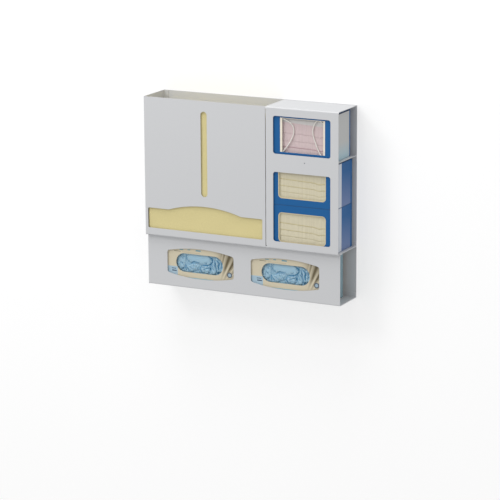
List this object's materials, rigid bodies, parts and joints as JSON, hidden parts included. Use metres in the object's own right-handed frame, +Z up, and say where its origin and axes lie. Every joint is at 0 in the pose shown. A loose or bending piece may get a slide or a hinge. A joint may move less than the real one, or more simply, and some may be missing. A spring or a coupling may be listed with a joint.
{
  "type": "isolation supply organizer",
  "caption": "Wall-mounted sheet-steel organizer with an open-topped gown bin, a mask cabinet with a shelf and a glove tray, stocked with gowns, masks and gloves.",
  "frame": {"origin": "centre of the four wall holes, on the back face of the back panel", "axes": "+X to the viewer's right along the wall, +Y into the wall, +Z up"},
  "size_m": [0.559, 0.114, 0.505],
  "materials": {
    "powder_coated_steel": "satin light grey powder coat",
    "blue_carton_board": "printed carton board, stood in for by matte plastic",
    "beige_carton_board": "printed carton board, stood in for by matte plastic",
    "gown_cloth": "matte spunbond cloth",
    "cream_mask_cloth": "matte spunbond cloth",
    "pink_mask_cloth": "matte spunbond cloth",
    "ear_loop_cord": "knitted elastic cord",
    "glove_rubber": "thin matte nitrile film"
  },
  "bodies": {
    "root": {"back_panel": "powder_coated_steel", "gown_bin_shell": "powder_coated_steel", "mask_cabinet_shell": "powder_coated_steel", "mask_shelf": "powder_coated_steel", "glove_tray_shell": "powder_coated_steel", "folded_gown_1": "gown_cloth", "folded_gown_2": "gown_cloth", "folded_gown_3": "gown_cloth", "folded_gown_4": "gown_cloth", "upper_mask_carton": "blue_carton_board", "middle_mask_carton": "blue_carton_board", "lower_mask_carton": "blue_carton_board", "upper_front_mask": "pink_mask_cloth", "upper_mask_pile": "pink_mask_cloth", "middle_front_mask": "cream_mask_cloth", "middle_mask_pile": "cream_mask_cloth", "lower_front_mask": "cream_mask_cloth", "lower_mask_pile": "cream_mask_cloth", "left_ear_loop": "ear_loop_cord", "right_ear_loop": "ear_loop_cord", "left_glove_carton": "beige_carton_board", "right_glove_carton": "beige_carton_board", "left_glove_pile": "glove_rubber", "right_glove_pile": "glove_rubber"}
  },
  "joints": []
}
